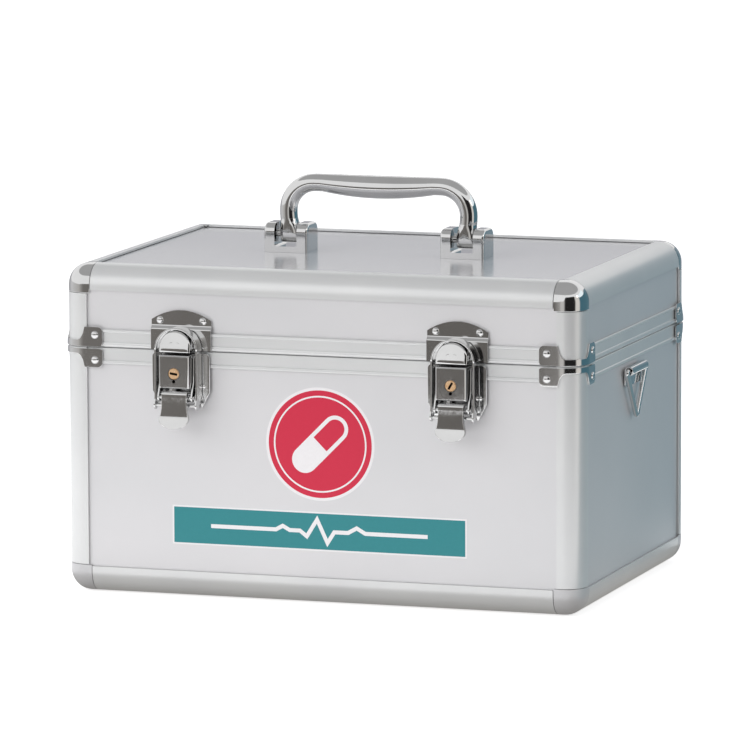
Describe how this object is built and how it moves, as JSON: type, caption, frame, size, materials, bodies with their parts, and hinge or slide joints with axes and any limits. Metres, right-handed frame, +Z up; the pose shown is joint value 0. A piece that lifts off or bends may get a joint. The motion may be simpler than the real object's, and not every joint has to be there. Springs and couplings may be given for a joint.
{
  "type": "medication lock box",
  "caption": "Lockable aluminium case for medicines: panelled body, rear-hinged lid with a folding carry handle, key-locked toggle latches on the front and a hanging ring on each end.",
  "frame": {"origin": "centre of the case's underside, on the ground", "axes": "+X along the case to the right as seen from the front, +Y to the rear hinge side, +Z up; the latches face -Y"},
  "size_m": [0.3088, 0.2287, 0.2267],
  "materials": {
    "satin_panel": "satin sheet, fine even grain",
    "anodised_extrusion": "satin anodised, drawn lengthwise",
    "chrome": "bright plate on pressed steel and die castings",
    "matte_steel": "dull nickel on pressed steel",
    "brass": "turned brass, lightly worn",
    "printed_red": "screen-printed ink, satin",
    "printed_teal": "screen-printed ink, satin",
    "printed_pale": "screen-printed ink, satin",
    "lining": "soft foam lining, closed skin"
  },
  "bodies": {
    "base": {"base_bottom_panel": "satin_panel", "base_front_panel": "satin_panel", "base_rear_panel": "satin_panel", "base_left_panel": "satin_panel", "base_right_panel": "satin_panel", "base_bottom_frame": "anodised_extrusion", "base_rim_frame": "anodised_extrusion", "base_corner_post_front_left": "anodised_extrusion", "base_corner_post_front_right": "anodised_extrusion", "base_corner_post_rear_left": "anodised_extrusion", "base_corner_post_rear_right": "anodised_extrusion", "bottom_corner_cap_front_left": "matte_steel", "bottom_corner_cap_front_right": "matte_steel", "bottom_corner_cap_rear_left": "matte_steel", "bottom_corner_cap_rear_right": "matte_steel", "base_seam_bracket_front_left": "chrome", "base_seam_bracket_front_right": "chrome", "base_seam_bracket_rear_left": "chrome", "base_seam_bracket_rear_right": "chrome", "hinge_base_leaf": "matte_steel", "hinge_pin": "matte_steel", "side_ring_plate_left": "chrome", "side_ring_plate_right": "chrome", "latch_base_left": "chrome", "latch_base_right": "chrome", "lock_body_left": "chrome", "lock_body_right": "chrome"},
    "lid": {"lid_front_panel": "satin_panel", "lid_rear_panel": "satin_panel", "lid_left_panel": "satin_panel", "lid_right_panel": "satin_panel", "lid_top_panel": "satin_panel", "lid_top_frame": "anodised_extrusion", "lid_rim_frame": "anodised_extrusion", "lid_corner_post_front_left": "anodised_extrusion", "lid_corner_post_front_right": "anodised_extrusion", "lid_corner_post_rear_left": "anodised_extrusion", "lid_corner_post_rear_right": "anodised_extrusion", "top_corner_cap_front_left": "chrome", "top_corner_cap_front_right": "chrome", "top_corner_cap_rear_left": "chrome", "top_corner_cap_rear_right": "chrome", "lid_seam_bracket_front_left": "chrome", "lid_seam_bracket_front_right": "chrome", "lid_seam_bracket_rear_left": "chrome", "lid_seam_bracket_rear_right": "chrome", "hinge_lid_leaf": "matte_steel", "handle_bracket_left": "chrome", "handle_bracket_right": "chrome", "latch_catch_left": "chrome", "latch_catch_right": "chrome"},
    "handle": {"handle": "chrome"},
    "side_ring_left": {"side_ring_left": "chrome"},
    "side_ring_right": {"side_ring_right": "chrome"},
    "latch_lever_left": {"latch_lever_left": "chrome"},
    "latch_lever_right": {"latch_lever_right": "chrome"},
    "latch_loop_left": {"latch_loop_left": "chrome"},
    "latch_loop_right": {"latch_loop_right": "chrome"},
    "lock_cylinder_left": {"lock_cylinder_left": "brass"},
    "lock_cylinder_right": {"lock_cylinder_right": "brass"}
  },
  "joints": [
    {"name": "lid_hinge", "type": "hinge", "parent": "base", "child": "lid", "pos_m": [0, 0.1067, 0.13815], "axis": [-1, 0, 0], "range_deg": [0, 100]},
    {"name": "handle_pivot", "type": "hinge", "parent": "lid", "child": "handle", "pos_m": [0, 0, 0.1923], "axis": [1, 0, 0], "range_deg": [-90, 90]},
    {"name": "side_ring_left", "type": "hinge", "parent": "base", "child": "side_ring_left", "pos_m": [-0.15165, -0.003, 0.1245], "axis": [0, 1, 0], "range_deg": [0, 150]},
    {"name": "side_ring_right", "type": "hinge", "parent": "base", "child": "side_ring_right", "pos_m": [0.15165, -0.003, 0.1245], "axis": [0, -1, 0], "range_deg": [0, 150]},
    {"name": "latch_lever_left", "type": "hinge", "parent": "base", "child": "latch_lever_left", "pos_m": [-0.08, -0.1138, 0.1135], "axis": [-1, 0, 0], "range_deg": [0, 110]},
    {"name": "latch_lever_right", "type": "hinge", "parent": "base", "child": "latch_lever_right", "pos_m": [0.08, -0.1138, 0.1135], "axis": [-1, 0, 0], "range_deg": [0, 110]},
    {"name": "latch_loop_left", "type": "hinge", "parent": "latch_lever_left", "child": "latch_loop_left", "pos_m": [-0.08, -0.1134, 0.109], "axis": [1, 0, 0], "range_deg": [0, 154]},
    {"name": "latch_loop_right", "type": "hinge", "parent": "latch_lever_right", "child": "latch_loop_right", "pos_m": [0.08, -0.1134, 0.109], "axis": [1, 0, 0], "range_deg": [0, 154]},
    {"name": "lock_cylinder_left", "type": "hinge", "parent": "base", "child": "lock_cylinder_left", "pos_m": [-0.08, -0.104, 0.1271], "axis": [0, 1, 0], "range_deg": [0, 90]},
    {"name": "lock_cylinder_right", "type": "hinge", "parent": "base", "child": "lock_cylinder_right", "pos_m": [0.08, -0.104, 0.1271], "axis": [0, 1, 0], "range_deg": [-90, 0]}
  ],
  "couplings": [
    {"joint": "latch_loop_left", "follows": "latch_lever_left", "ratio": 1.4},
    {"joint": "latch_loop_right", "follows": "latch_lever_right", "ratio": 1.4}
  ]
}
